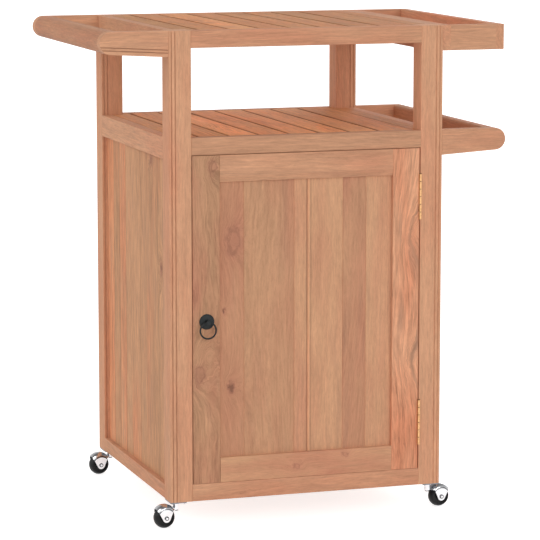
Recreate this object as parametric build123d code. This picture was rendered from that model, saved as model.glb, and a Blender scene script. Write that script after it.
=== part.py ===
from build123d import *
import math
import os

# Kitchen trolley in oiled hardwood: slatted top and slatted shelf on four square legs, a cabinet
# with one inset door, a push handle on the left, open rails on the right and four casters.
# Millimetres, +X to the right, +Y to the back, +Z up. The origin is on the floor, halfway along
# the length and halfway between the ring pull's tip and the back.

# Body
body_width = 500.0
body_depth = 486.0
leg_thickness = 40.0
leg_height = 819.0
stock = 20.0                    # thickness of the rails, the arms and the door's frame
edge_ease = 0.8                 # chamfer along the long edges

# Routed bead on the front face of each leg
leg_groove_inset = 5.0
leg_groove_spacing = 6.5
leg_groove_width = 2.0
leg_groove_depth = 1.4
leg_groove_stop = 2.5

# Rails, with the shelf's top measured from the foot of the legs
deck_rail_height = 30.0
top_side_rail_height = 44.5
shelf_side_rail_height = 39.0
shelf_height = 635.5
base_rail_height = 30.0
base_side_rail_height = 25.0

# Deck boards, which run from front to back and rest on bearers
slat_count = 6
slat_gap = 5.0
slat_thickness = 14.0
left_board_width = 35.5
right_board_width = 29.0
closing_slat_width = 60.0
board_seam = 0.5
bearer_depth = 15.0
bearer_height = 12.0

# Arms with a round end, and the bars between them
arm_reach = 120.0
arm_root_height = 44.5
arm_end_radius = 19.3
arm_groove_rise = 6.6
arm_groove_spacing = 5.2
arm_groove_width = 2.0
arm_groove_depth = 1.2
bar_width = 35.0
bar_inner_radius = 5.0

# Open frame on the right of the top
side_frame_reach = 115.0
side_frame_height = 44.5
side_frame_board = 15.0

# Cabinet panels of upright staves, each tongued into the legs and rails
panel_thickness = 10.0
panel_recess = 10.0
panel_tongue = 6.0
stave_groove_width = 1.6
stave_groove_depth = 0.8
side_staves = (183.0, 97.5, 42.5, 40.0)
back_staves = (104.0, 96.0, 112.0)
floor_thickness = 10.0

# Door, inset between the legs
door_gap = 1.2                  # left of the door and above it
door_hinge_gap = 2.0
door_bottom_gap = 0.7
stile_width = 49.5
door_top_rail = 46.5
door_bottom_rail = 43.5
door_panel_thickness = 8.0
door_panel_recess = 7.0
door_tongue = 7.0
door_staves = (45.0, 92.0, 26.0, 64.0, 43.0)
bold_seam = 2                   # index of the door seam with the wide groove
bold_groove_width = 5.5
bold_groove_depth = 2.2
rail_bevel_height = 10.0
rail_bevel_depth = 3.0

# Butt hinges, pinned in front of the joint between the door and the right leg
hinge_length = 80.0
top_hinge_inset = 45.5
bottom_hinge_inset = 43.5
hinge_pin_stand = 2.6           # from the door's face to the pin's middle
knuckle_radius = 2.3
knuckle_count = 6
knuckle_gap = 1.2
knuckle_clearance = 0.5
hinge_pin_radius = 1.25
pin_head_radius = 2.0
pin_head_height = 1.0
leaf_thickness = 1.1
leaf_width = 17.0
hinge_screws_per_leaf = 3
hinge_screw_head = 2.4
hinge_screw_shank = 1.2
hinge_screw_length = 12.0
running_fit = 0.05

# Ring pull
pull_from_edge = 25.0           # from the door's left edge to the pull's middle
pull_height = 316.0             # from the foot of the legs
rose_radius = 13.5
rose_rim = 1.0
rose_rise = 3.5
rose_fullness = 0.8             # height of the dome midway, as a share of its rise
neck_radius = 3.5
eye_stand = 9.0                 # from the door's face to the middle of the eye
cap_radius = 4.3
cap_start = 11.7
cap_edge = 12.7
pull_reach = 13.2
cap_flat_radius = 3.4
ring_radius = 14.2
ring_wire_radius = 1.5
ring_play = 0.3

# Magnetic catch under the shelf's front bearer, and its strike on the door
catch_from_edge = 22.0
catch_width = 36.0
catch_depth = 12.0
catch_drop = 16.0
catch_gap = 0.5
strike_thickness = 1.2
strike_height = 10.0
strike_below_top = 1.5

# Hooded swivel casters
caster_inset = 15.0             # swivel axis from the leg's outer side face
caster_turn = 8.0               # degrees the casters stand turned at rest
trail = 23.0
axle_drop = 28.0
plate_width = 30.0
plate_depth = 38.0
plate_thickness = 2.0
plate_corner = 3.0
raceway_radius = 7.0
raceway_height = 3.0
swivel_gap = 0.3
king_pin_radius = 3.0
king_head_radius = 4.4
king_head_height = 1.5
socket_radius = 5.5
hood_radius = 23.5
hood_half_width = 12.5
hood_corner = 10.2
hood_wall = 1.5
hood_tip_radius = 7.4
hood_trail_lean = 28.0          # degrees from upright of the cheek's outer side
hood_stem_lean = 23.0           # degrees from upright of the cheek's inner side
hood_rim_rise = 11.8            # from the axle up to the rim beside the socket
boss_radius = 3.8
boss_height = 1.6
axle_radius = 2.2
axle_end_stand = 0.9            # axle end beyond the boss
wheel_radius = 19.0
tread_half_width = 9.5
tread_edge_radius = 15.5
rim_radius = 13.0
web_half_width = 7.5
hub_radius = 5.0
hub_side_gap = 0.3
caster_screw_x = 11.0
caster_screw_y = 15.0
caster_screw_head = 2.8
caster_screw_head_height = 1.4
caster_screw_shank = 1.75
caster_screw_length = 16.0

# Places worked out from the sizes
x_left = -body_width / 2
x_right = body_width / 2
y_front = -(body_depth - pull_reach) / 2
y_back = y_front + body_depth
z_foot = axle_drop + wheel_radius
z_top = z_foot + leg_height
z_shelf = z_foot + shelf_height
x_leg_left = x_left + leg_thickness
x_leg_right = x_right - leg_thickness
y_leg_front = y_front + leg_thickness
y_leg_back = y_back - leg_thickness
z_base = z_foot + base_rail_height
door_left = x_leg_left + door_gap
door_right = x_leg_right - door_hinge_gap
door_bottom = z_base + door_bottom_gap
door_top = z_shelf - deck_rail_height - door_gap
hinge_x = x_leg_right - door_hinge_gap / 2
hinge_y = y_front - hinge_pin_stand
hinge_bottoms = (door_bottom + bottom_hinge_inset, door_top - top_hinge_inset - hinge_length)
corners = {
    "front_left": (x_left, y_front, 1, 1),
    "front_right": (x_right, y_front, -1, 1),
    "back_left": (x_left, y_back, 1, -1),
    "back_right": (x_right, y_back, -1, -1),
}


def block(x0, x1, y0, y1, z0, z1):
    """Rectangular solid between two opposite corners, given axis by axis in any order."""
    size = Box(abs(x1 - x0), abs(y1 - y0), abs(z1 - z0))
    return Pos((x0 + x1) / 2, (y0 + y1) / 2, (z0 + z1) / 2) * size


def board(x0, x1, y0, y1, z0, z1, along):
    """Block whose long edges, which run along one axis, are eased."""
    plain = block(x0, x1, y0, y1, z0, z1)
    return chamfer(plain.edges().filter_by(along), edge_ease)


def face_of(*points):
    """Flat face inside a closed chain of straight edges."""
    return make_face(Polyline(*points, close=True))


def slab_y(face, y0, y1):
    """Solid between two depths whose front view is the given face."""
    return Pos(0, y1, 0) * extrude(Plane.XZ * face, amount=y1 - y0)


def turned(outline):
    """Solid of revolution about Z of an outline drawn as radius and height."""
    return revolve(Plane.XZ * make_face(outline), Axis.Z)


def upright(x, y, radius, z0, z1):
    """Vertical cylinder between two heights."""
    return Pos(x, y, (z0 + z1) / 2) * Cylinder(radius, z1 - z0)


def v_groove(start, direction, inward, width, depth, length):
    """Prism that cuts a groove of V section, open on the side away from inward."""
    section = Plane(origin=start, x_dir=inward, z_dir=direction)
    return extrude(section * face_of((0, -width / 2), (0, width / 2), (depth, 0)), amount=length)


# Cabinet panels and the pockets that hold their tongues

def side_panel_block(x_outer, inward):
    """Plain side panel with its tongues, set back from the legs' outer face."""
    x0 = x_outer + inward * panel_recess
    return block(
        x0, x0 + inward * panel_thickness,
        y_leg_front - panel_tongue, y_leg_back + panel_tongue,
        z_foot + base_side_rail_height - panel_tongue,
        z_shelf - shelf_side_rail_height + panel_tongue,
    )


def back_panel_block():
    """Plain back panel with its tongues, set back from the legs' back face."""
    y0 = y_back - panel_recess
    return block(
        x_leg_left - panel_tongue, x_leg_right + panel_tongue, y0, y0 - panel_thickness,
        z_base - panel_tongue, z_shelf - deck_rail_height + panel_tongue,
    )


def panel_pockets():
    """All three panels as plain blocks, which the legs and rails are grooved to take."""
    return [side_panel_block(x_left, 1), side_panel_block(x_right, -1), back_panel_block()]


def side_panel(x_outer, inward):
    """Side panel with a fine groove at each joint between two staves."""
    panel = side_panel_block(x_outer, inward)
    y = y_leg_front
    for width in side_staves:
        y += width
        start = (x_outer + inward * panel_recess, y, z_foot)
        panel -= v_groove(
            start, (0, 0, 1), (inward, 0, 0), stave_groove_width, stave_groove_depth, shelf_height
        )
    return panel


def back_panel():
    """Back panel with a fine groove at each joint between two staves."""
    panel = back_panel_block()
    x = x_leg_left
    for width in back_staves:
        x += width
        start = (x, y_back - panel_recess, z_foot)
        panel -= v_groove(
            start, (0, 0, 1), (0, -1, 0), stave_groove_width, stave_groove_depth, shelf_height
        )
    return panel


# Legs and rails

def leg(corner):
    """Square leg with its front bead, panel grooves, hinge pockets and caster screw holes."""
    x, y, to_x, to_y = corners[corner]
    x1 = x + to_x * leg_thickness
    y1 = y + to_y * leg_thickness
    post = board(x, x1, y, y1, z_foot, z_top, Axis.Z)
    for inset in (leg_groove_inset, leg_groove_inset + leg_groove_spacing):
        post -= v_groove(
            (x + to_x * inset, min(y, y1), z_foot), (0, 0, 1), (0, 1, 0),
            leg_groove_width, leg_groove_depth, leg_height - leg_groove_stop,
        )
    for pocket in panel_pockets():
        post -= pocket
    for cut in caster_screws(corner):
        post -= cut
    if corner == "front_right":
        for cut in leaf_blocks(x_leg_right, x_leg_right + leaf_thickness) + frame_hinge_screws():
            post -= cut
    return post


def cross_rail(y_outer, to_y, z_upper, height):
    """Front or back rail between the legs, grooved where a panel enters it."""
    y1 = y_outer + to_y * stock
    rail = board(x_leg_left, x_leg_right, y_outer, y1, z_upper - height, z_upper, Axis.X)
    for pocket in panel_pockets():
        rail -= pocket
    return rail


def side_rail(x_outer, to_x, z_upper, height):
    """Left or right rail between the legs, grooved where a panel enters it."""
    x1 = x_outer + to_x * stock
    rail = board(x_outer, x1, y_leg_front, y_leg_back, z_upper - height, z_upper, Axis.Y)
    for pocket in panel_pockets():
        rail -= pocket
    return rail


# Decks

def deck_edge_boards(z_upper):
    """Outermost boards of a deck, notched round the legs."""
    x0 = x_left + stock
    x1 = x_right - stock
    boards = []
    for near, far in ((x0, x0 + left_board_width), (x1 - right_board_width, x1)):
        plank = board(
            near, far, y_front + stock, y_back - stock, z_upper - slat_thickness, z_upper, Axis.Y
        )
        for x, y, to_x, to_y in corners.values():
            plank -= block(
                x, x + to_x * leg_thickness, y, y + to_y * leg_thickness,
                z_upper - slat_thickness, z_upper,
            )
        boards.append(plank)
    return boards


def deck_slats(z_upper):
    """Equal slats with open gaps between them, and the wide slat that closes the row."""
    x = x_left + stock + left_board_width + slat_gap
    x_end = x_right - stock - right_board_width - board_seam
    slat_width = (x_end - closing_slat_width - x) / slat_count - slat_gap
    slats = []
    for width in [slat_width] * slat_count + [closing_slat_width]:
        slats.append(board(
            x, x + width, y_front + stock, y_back - stock,
            z_upper - slat_thickness, z_upper, Axis.Y,
        ))
        x += width + slat_gap
    return slats


def bearers(z_upper):
    """Front and back battens, between the legs, that carry the boards above them."""
    return [
        block(
            x_leg_left, x_leg_right, y_rail, y_rail + to_y * bearer_depth,
            z_upper - bearer_height, z_upper,
        )
        for y_rail, to_y in ((y_front + stock, 1), (y_back - stock, -1))
    ]


def cabinet_floor():
    """Floor board level with the base rails and notched round the legs."""
    floor = block(
        x_left + stock, x_right - stock, y_front + stock, y_back - stock,
        z_base - floor_thickness, z_base,
    )
    for x, y, to_x, to_y in corners.values():
        floor -= block(
            x, x + to_x * leg_thickness, y, y + to_y * leg_thickness,
            z_base - floor_thickness, z_base,
        )
    return floor


# Arms and bars

def arm_underside():
    """Point where the underside meets the round end, for a root at x 0 and a top at z 0."""
    centre = Vector(-(arm_reach - arm_end_radius), -arm_end_radius)
    to_root = Vector(0, -arm_root_height) - centre
    heading = math.atan2(to_root.Y, to_root.X) - math.acos(arm_end_radius / to_root.length)
    return centre + Vector(math.cos(heading), math.sin(heading)) * arm_end_radius


def arm_face():
    """Front view of an arm that reaches left: level top, rising underside, round end."""
    meet = arm_underside()
    top_end = (-(arm_reach - arm_end_radius), 0)
    outline = Polyline((meet.X, meet.Y), (0, -arm_root_height), (0, 0), top_end)
    outline += ThreePointArc(top_end, (-arm_reach, -arm_end_radius), (meet.X, meet.Y))
    return make_face(outline)


def arm(grooved_side=0):
    """Arm from y 0 to the back, with two grooves along the underside on a front or back face."""
    solid = slab_y(arm_face(), 0, stock)
    if grooved_side:
        meet = arm_underside()
        run = Vector(meet.X, 0, meet.Y + arm_root_height).normalized()
        y = stock if grooved_side > 0 else 0
        for rise in (arm_groove_rise, arm_groove_rise + arm_groove_spacing):
            solid -= v_groove(
                (0, y, rise - arm_root_height), run, (0, -grooved_side, 0),
                arm_groove_width, arm_groove_depth, arm_reach,
            )
    return solid


def bar():
    """Bar between two arms that reach left, rounded to the arms' outline, soft on its inner side."""
    strip = Pos(-arm_reach + bar_width / 2, -arm_root_height / 2) * Rectangle(
        bar_width, 2 * arm_root_height
    )
    section = arm_face() & strip
    inner = section.vertices().sort_by(Axis.X)[-2:]
    section = fillet(inner, bar_inner_radius)
    return slab_y(section, y_front + stock, y_back - stock)


def handle_pieces():
    """Left handle: front arm, back arm and bar, level with the top."""
    front = Pos(x_left, y_front, z_top) * arm(-1)
    back = Pos(x_left, y_back - stock, z_top) * arm(1)
    return front, back, Pos(x_left, 0, z_top) * bar()


def shelf_arm_pieces():
    """Right arms and bar, level with the shelf."""
    front = Pos(x_right, y_front, z_shelf) * arm().mirror(Plane.YZ)
    back = Pos(x_right, y_back - stock, z_shelf) * arm().mirror(Plane.YZ)
    return front, back, Pos(x_right, 0, z_shelf) * bar().mirror(Plane.YZ)


def side_frame_pieces():
    """Open frame on the right of the top: inner, end, front and back boards."""
    x_inner = x_right + side_frame_board
    x_end = x_right + side_frame_reach
    z_low = z_top - side_frame_height
    inner = board(x_right, x_inner, y_front, y_back, z_low, z_top, Axis.Y)
    end = board(x_end - side_frame_board, x_end, y_front, y_back, z_low, z_top, Axis.Y)
    front = board(
        x_inner, x_end - side_frame_board, y_front, y_front + side_frame_board,
        z_low, z_top, Axis.X,
    )
    back = board(
        x_inner, x_end - side_frame_board, y_back - side_frame_board, y_back,
        z_low, z_top, Axis.X,
    )
    return inner, end, front, back


# Door

def door_groove_span():
    """Front and back depth of the groove that holds the door's panel."""
    y0 = y_front + door_panel_recess
    return y0, y0 + door_panel_thickness


def stile(x_edge, inward):
    """Door stile, grooved on its inner edge for the panel and the rails' tongues."""
    x_inner = x_edge + inward * stile_width
    post = board(x_edge, x_inner, y_front, y_front + stock, door_bottom, door_top, Axis.Z)
    y0, y1 = door_groove_span()
    post -= block(x_inner - inward * door_tongue, x_inner, y0, y1, door_bottom, door_top)
    if inward < 0:
        for cut in leaf_blocks(door_right - leaf_thickness, door_right) + door_hinge_screws():
            post -= cut
    return post


def door_rail(z0, z1, groove_up):
    """Door rail with a tongue at each end, grooved on the edge that faces the panel."""
    x0 = door_left + stile_width
    x1 = door_right - stile_width
    y0, y1 = door_groove_span()
    rail = block(x0, x1, y_front, y_front + stock, z0, z1)
    if not groove_up:
        corner = (y_front, z0)
        bevel = face_of(
            corner, (y_front, z0 + rail_bevel_height), (y_front + rail_bevel_depth, z0)
        )
        rail -= Pos(x0, 0, 0) * extrude(Plane.YZ * bevel, amount=x1 - x0)
    rail += block(x0 - door_tongue, x1 + door_tongue, y0, y1, z0, z1)
    z_edge = z1 if groove_up else z0
    z_deep = z_edge - door_tongue if groove_up else z_edge + door_tongue
    return rail - block(x0 - door_tongue, x1 + door_tongue, y0, y1, z_edge, z_deep)


def door_panel():
    """Panel of upright staves, tongued into the door's frame, with one bold groove."""
    x0 = door_left + stile_width
    x1 = door_right - stile_width
    y0, y1 = door_groove_span()
    z0 = door_bottom + door_bottom_rail - door_tongue
    z1 = door_top - door_top_rail + door_tongue
    panel = block(x0 - door_tongue, x1 + door_tongue, y0, y1, z0, z1)
    x = x0
    for index, width in enumerate(door_staves):
        x += width
        wide = bold_groove_width if index == bold_seam else stave_groove_width
        deep = bold_groove_depth if index == bold_seam else stave_groove_depth
        panel -= v_groove((x, y0, z0), (0, 0, 1), (0, 1, 0), wide, deep, z1 - z0)
    return panel


# Hinges

def leaf_blocks(x0, x1):
    """Pockets for the leaves of both hinges in an edge that spans x0 to x1."""
    return [
        block(x0, x1, y_front, hinge_y + leaf_width, z, z + hinge_length) for z in hinge_bottoms
    ]


def knuckle_spans(z, parity):
    """Heights of every second knuckle of a hinge that starts at z."""
    pitch = (hinge_length + knuckle_gap) / knuckle_count
    starts = [z + pitch * index for index in range(knuckle_count) if index % 2 == parity]
    return [(start, start + pitch - knuckle_gap) for start in starts]


def hinge_leaf(z, x0, x1, parity, bore):
    """Leaf between x0 and x1 with its own knuckles, cut back round the other leaf's."""
    plate = block(x0, x1, hinge_y, hinge_y + leaf_width, z, z + hinge_length)
    for z0, z1 in knuckle_spans(z, 1 - parity):
        swept = knuckle_radius + knuckle_clearance
        plate -= upright(hinge_x, hinge_y, swept, z0 - knuckle_gap, z1 + knuckle_gap)
    for z0, z1 in knuckle_spans(z, parity):
        plate += upright(hinge_x, hinge_y, knuckle_radius, z0, z1)
    return plate - upright(hinge_x, hinge_y, bore, z, z + hinge_length)


def screw(head_outline, shank_radius, length):
    """Screw about Z, head outward, whose shank reaches down from the end of the head's outline."""
    last = head_outline[-1]
    outline = head_outline + [
        (shank_radius, last[1] - length + shank_radius), (0, last[1] - length)
    ]
    return turned(Polyline(*outline, close=True))


def leaf_screws(x, outward):
    """Countersunk screws through both leaves on one side of the joint, flush with x."""
    sink = hinge_screw_head - hinge_screw_shank
    head = [(0, 0), (hinge_screw_head, 0), (hinge_screw_shank, -sink)]
    one = screw(head, hinge_screw_shank, hinge_screw_length)
    pitch = hinge_length / hinge_screws_per_leaf
    y = (y_front + hinge_y + leaf_width) / 2
    return [
        Pos(x, y, z + pitch * (index + 0.5)) * Rot(0, 90 * outward, 0) * one
        for z in hinge_bottoms
        for index in range(hinge_screws_per_leaf)
    ]


def frame_hinge_screws():
    """Screws of the leaves let into the leg."""
    return leaf_screws(x_leg_right, -1)


def door_hinge_screws():
    """Screws of the leaves let into the door."""
    return leaf_screws(door_right, 1)


def frame_leaves():
    """Leaves let into the leg, whose knuckles hold the pins tight."""
    leaves = []
    for z in hinge_bottoms:
        x1 = x_leg_right + leaf_thickness
        leaf = hinge_leaf(z, x_leg_right, x1, 1, hinge_pin_radius)
        for cut in frame_hinge_screws():
            leaf -= cut
        leaves.append(leaf)
    return leaves


def door_leaves():
    """Leaves let into the door, whose knuckles turn on the pins."""
    leaves = []
    for z in hinge_bottoms:
        x0 = door_right - leaf_thickness
        leaf = hinge_leaf(z, x0, door_right, 0, hinge_pin_radius + running_fit)
        for cut in door_hinge_screws():
            leaf -= cut
        leaves.append(leaf)
    return leaves


def hinge_pins():
    """Headed pin of each hinge, resting on the top knuckle."""
    pins = []
    for z in hinge_bottoms:
        top = z + hinge_length
        pin = upright(hinge_x, hinge_y, hinge_pin_radius, z, top)
        pin += upright(hinge_x, hinge_y, pin_head_radius, top, top + pin_head_height)
        pins.append(pin)
    return pins


# Ring pull

def pull_place():
    """Middle of the rose on the door's face."""
    return Pos(door_left + pull_from_edge, y_front, z_foot + pull_height)


def pull_rose():
    """Domed rose with a neck, an eye bored across it and a capped end."""
    brow = (neck_radius, rose_rise)
    belly = ((rose_radius + neck_radius) / 2, rose_rim + rose_fullness * (rose_rise - rose_rim))
    outline = ThreePointArc((rose_radius, rose_rim), belly, brow)
    outline += Polyline(
        brow, (neck_radius, cap_start), (cap_radius, cap_start), (cap_radius, cap_edge),
        (cap_flat_radius, pull_reach), (0, pull_reach), (0, 0), (rose_radius, 0),
        (rose_radius, rose_rim),
    )
    sag = ring_radius - math.sqrt(ring_radius**2 - neck_radius**2)
    bore = ring_wire_radius + sag + ring_play
    eye = Pos(0, 0, eye_stand) * Rot(0, 90, 0) * Cylinder(bore, 4 * cap_radius)
    return pull_place() * Rot(90, 0, 0) * (turned(outline) - eye)


def pull_ring():
    """Ring hanging in the eye."""
    ring = Rot(90, 0, 0) * Torus(ring_radius, ring_wire_radius)
    return pull_place() * Pos(0, -eye_stand, -ring_radius) * ring


# Catch

def catch_body():
    """Magnet housing under the front bearer of the shelf."""
    z1 = z_shelf - slat_thickness - bearer_height
    x0 = door_left + catch_from_edge
    y0 = y_front + stock + strike_thickness + catch_gap
    return board(x0, x0 + catch_width, y0, y0 + catch_depth, z1 - catch_drop, z1, Axis.X)


def catch_strike():
    """Plate on the door's back that meets the magnet."""
    x0 = door_left + catch_from_edge
    y0 = y_front + stock
    z1 = door_top - strike_below_top
    return block(x0, x0 + catch_width, y0, y0 + strike_thickness, z1 - strike_height, z1)


# Casters, drawn about the swivel axis with the leg's foot at z 0 and the wheel toward +X

def caster_place(corner):
    """Place of a caster: swivel axis under the leg, wheel trailing outward."""
    x, y, to_x, to_y = corners[corner]
    heading = caster_turn if to_x < 0 else 180 + caster_turn
    place = Pos(x + to_x * caster_inset, y + to_y * leg_thickness / 2, z_foot)
    return place, place * Rot(0, 0, heading)


def caster_plate(corner):
    """Top plate with its raceway and the headed king pin riveted through it."""
    fixed, _ = caster_place(corner)
    plate = extrude(
        RectangleRounded(plate_width, plate_depth, plate_corner), amount=-plate_thickness
    )
    z_race = -plate_thickness - raceway_height
    z_head = -axle_drop + hood_rim_rise - swivel_gap
    plate += upright(0, 0, raceway_radius, z_race, -plate_thickness)
    plate += upright(0, 0, king_pin_radius, z_head, z_race)
    plate += upright(0, 0, king_head_radius, z_head - king_head_height, z_head)
    plate = fixed * plate
    for cut in caster_screws(corner):
        plate -= cut
    return plate


def caster_screws(corner):
    """Four pan-head screws that hold a plate to the leg."""
    fixed, _ = caster_place(corner)
    head = [
        (0, caster_screw_head_height),
        (caster_screw_head / 2, caster_screw_head_height),
        (caster_screw_head, caster_screw_head_height / 2),
        (caster_screw_head, 0),
        (caster_screw_shank, 0),
    ]
    one = screw(head, caster_screw_shank, caster_screw_length)
    return [
        fixed * Pos(sx * caster_screw_x, sy * caster_screw_y, -plate_thickness) * Rot(180, 0, 0) * one
        for sx in (-1, 1)
        for sy in (-1, 1)
    ]


def drum(radius, half_width, corner_radius):
    """Cylinder along Y with rounded rims."""
    solid = Cylinder(radius, 2 * half_width)
    solid = fillet(solid.edges().filter_by(GeomType.CIRCLE), corner_radius)
    return Rot(90, 0, 0) * solid


def cheek_side(lean, side):
    """Foot and far end of a cheek's straight side, tangent to its round tip."""
    angle = math.radians(lean)
    foot = Vector(side * math.cos(angle), -math.sin(angle)) * hood_tip_radius
    end = foot + Vector(side * math.sin(angle), math.cos(angle)) * 2 * hood_radius
    return (foot.X, foot.Y), (end.X, end.Y)


def hood_view():
    """Side view that the hood is trimmed to: crown above two cheeks that narrow to the axle."""
    trail_foot, trail_end = cheek_side(hood_trail_lean, 1)
    stem_foot, stem_end = cheek_side(hood_stem_lean, -1)
    view = Circle(hood_tip_radius) + face_of(trail_foot, trail_end, stem_end, stem_foot)
    reach = trail + socket_radius
    crown = Pos(-reach / 2, hood_rim_rise + hood_radius / 2) * Rectangle(reach, hood_radius)
    return view + crown


def hood():
    """Pressed hood: domed shell over the wheel, cheeks with axle bosses and a swivel socket."""
    shell = drum(hood_radius, hood_half_width, hood_corner)
    shell -= drum(hood_radius - hood_wall, hood_half_width - hood_wall, hood_corner - hood_wall)
    shell &= slab_y(hood_view(), -hood_half_width, hood_half_width)
    axle_line = Rot(90, 0, 0)
    for side in (-1, 1):
        middle = side * (hood_half_width + boss_height / 2)
        shell += Pos(0, middle, 0) * axle_line * Cylinder(boss_radius, boss_height)
    shell -= axle_line * Cylinder(axle_radius, 4 * hood_half_width)
    shell = Pos(trail, 0, -axle_drop) * shell
    z_under = -axle_drop + hood_rim_rise
    z_over = -plate_thickness - raceway_height - swivel_gap
    shell += upright(0, 0, socket_radius, z_under, z_over)
    return shell - upright(0, 0, king_pin_radius + running_fit, z_under - hood_radius, z_over)


def axle():
    """Axle between the cheeks with eased ends beyond the bosses."""
    half = hood_half_width + boss_height + axle_end_stand
    rod = Cylinder(axle_radius, 2 * half)
    rod = chamfer(rod.edges().filter_by(GeomType.CIRCLE), axle_end_stand / 2)
    return Pos(trail, 0, -axle_drop) * Rot(90, 0, 0) * rod


def wheel():
    """Ball-shaped wheel: curved tread, recessed web and a hub that runs on the axle."""
    hub_half = hood_half_width - hood_wall - hub_side_gap
    bore = axle_radius + running_fit
    upper = [
        (tread_edge_radius, tread_half_width), (rim_radius, tread_half_width),
        (rim_radius, web_half_width), (hub_radius, web_half_width), (hub_radius, hub_half),
        (bore, hub_half),
    ]
    lower = [(radius, -height) for radius, height in reversed(upper)]
    outline = Polyline(*upper, *lower)
    outline += ThreePointArc(lower[-1], (wheel_radius, 0), upper[0])
    return Pos(trail, 0, -axle_drop) * Rot(90, 0, 0) * turned(outline)


def build_nodes():
    """Every sub-part by its node name, each as a list of its solids."""
    nodes = {}
    for corner in corners:
        nodes[f"leg_{corner}"] = [leg(corner)]
    decks = (
        ("top", z_top, top_side_rail_height),
        ("shelf", z_shelf, shelf_side_rail_height),
    )
    for name, z, side_height in decks:
        nodes[f"{name}_rail_front"] = [cross_rail(y_front, 1, z, deck_rail_height)]
        nodes[f"{name}_rail_back"] = [cross_rail(y_back, -1, z, deck_rail_height)]
        nodes[f"{name}_rail_left"] = [side_rail(x_left, 1, z, side_height)]
        nodes[f"{name}_rail_right"] = [side_rail(x_right, -1, z, side_height)]
        nodes[f"{name}_edge_boards"] = deck_edge_boards(z)
        nodes[f"{name}_slats"] = deck_slats(z)
    z_base_side = z_foot + base_side_rail_height
    nodes["base_rail_front"] = [cross_rail(y_front, 1, z_base, base_rail_height)]
    nodes["base_rail_back"] = [cross_rail(y_back, -1, z_base, base_rail_height)]
    nodes["base_rail_left"] = [side_rail(x_left, 1, z_base_side, base_side_rail_height)]
    nodes["base_rail_right"] = [side_rail(x_right, -1, z_base_side, base_side_rail_height)]
    nodes["side_panel_left"] = [side_panel(x_left, 1)]
    nodes["side_panel_right"] = [side_panel(x_right, -1)]
    nodes["back_panel"] = [back_panel()]
    nodes["cabinet_floor"] = [cabinet_floor()]
    carried = (z_top - slat_thickness, z_shelf - slat_thickness, z_base - floor_thickness)
    nodes["bearers"] = [batten for z in carried for batten in bearers(z)]
    for name, piece in zip(("arm_front", "arm_back", "bar"), handle_pieces()):
        nodes[f"handle_{name}"] = [piece]
    for name, piece in zip(("arm_front", "arm_back", "bar"), shelf_arm_pieces()):
        nodes[f"shelf_{name}"] = [piece]
    for name, piece in zip(("inner", "end", "front", "back"), side_frame_pieces()):
        nodes[f"side_frame_{name}"] = [piece]
    nodes["hinge_frame_leaves"] = frame_leaves()
    nodes["hinge_pins"] = hinge_pins()
    nodes["hinge_frame_screws"] = frame_hinge_screws()
    nodes["catch_body"] = [catch_body()]
    nodes["door_stile_left"] = [stile(door_left, 1)]
    nodes["door_stile_right"] = [stile(door_right, -1)]
    nodes["door_rail_top"] = [door_rail(door_top - door_top_rail, door_top, False)]
    nodes["door_rail_bottom"] = [door_rail(door_bottom, door_bottom + door_bottom_rail, True)]
    nodes["door_panel"] = [door_panel()]
    nodes["hinge_door_leaves"] = door_leaves()
    nodes["hinge_door_screws"] = door_hinge_screws()
    nodes["catch_strike"] = [catch_strike()]
    nodes["pull_rose"] = [pull_rose()]
    nodes["pull_ring"] = [pull_ring()]
    nodes["caster_plates"] = [caster_plate(corner) for corner in corners]
    nodes["caster_screws"] = [one for corner in corners for one in caster_screws(corner)]
    one_hood = hood()
    one_axle = axle()
    one_wheel = wheel()
    for corner in corners:
        _, turned_place = caster_place(corner)
        nodes[f"caster_hood_{corner}"] = [turned_place * one_hood, turned_place * one_axle]
        nodes[f"caster_wheel_{corner}"] = [turned_place * one_wheel]
    return nodes


os.makedirs("parts", exist_ok=True)
for node, pieces in build_nodes().items():
    solids = [solid for piece in pieces for solid in piece.solids()]
    export_step(Compound(solids), f"parts/{node}.step")
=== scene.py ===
"""Looks of a hardwood kitchen trolley: board by board finishes, smooth metal parts and studio."""

from __future__ import annotations

import logging
import math
from dataclasses import dataclass
from enum import Enum

import bmesh
import bpy
from mathutils import Matrix, Vector

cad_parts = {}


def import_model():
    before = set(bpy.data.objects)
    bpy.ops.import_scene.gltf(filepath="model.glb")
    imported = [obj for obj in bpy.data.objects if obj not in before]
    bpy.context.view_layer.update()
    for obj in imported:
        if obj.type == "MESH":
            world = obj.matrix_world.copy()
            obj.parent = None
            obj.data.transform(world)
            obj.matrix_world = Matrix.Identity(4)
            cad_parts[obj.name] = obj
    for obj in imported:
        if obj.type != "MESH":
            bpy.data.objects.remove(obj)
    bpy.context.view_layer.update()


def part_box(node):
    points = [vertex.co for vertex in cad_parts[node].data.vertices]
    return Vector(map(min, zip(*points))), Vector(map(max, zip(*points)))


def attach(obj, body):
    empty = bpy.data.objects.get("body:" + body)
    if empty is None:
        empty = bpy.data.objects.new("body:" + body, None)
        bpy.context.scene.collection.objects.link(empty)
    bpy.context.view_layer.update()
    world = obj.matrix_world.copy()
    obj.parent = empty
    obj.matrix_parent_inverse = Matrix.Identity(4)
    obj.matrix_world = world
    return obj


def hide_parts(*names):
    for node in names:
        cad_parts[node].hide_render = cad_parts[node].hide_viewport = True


LOG = logging.getLogger("trolley")
Colour = tuple[float, float, float]
Point = tuple[float, float, float]
Shade = tuple[int, int, int]
Stops = tuple[tuple[float, float], ...]
Socket = bpy.types.NodeSocket
Material = bpy.types.Material
Mesh = bmesh.types.BMesh

CORNERS = ("front_left", "front_right", "back_left", "back_right")
WHITE = (1.0, 1.0, 1.0)
MERGE_DISTANCE = 1e-6
CUT_DISTANCE = 1e-7


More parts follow.
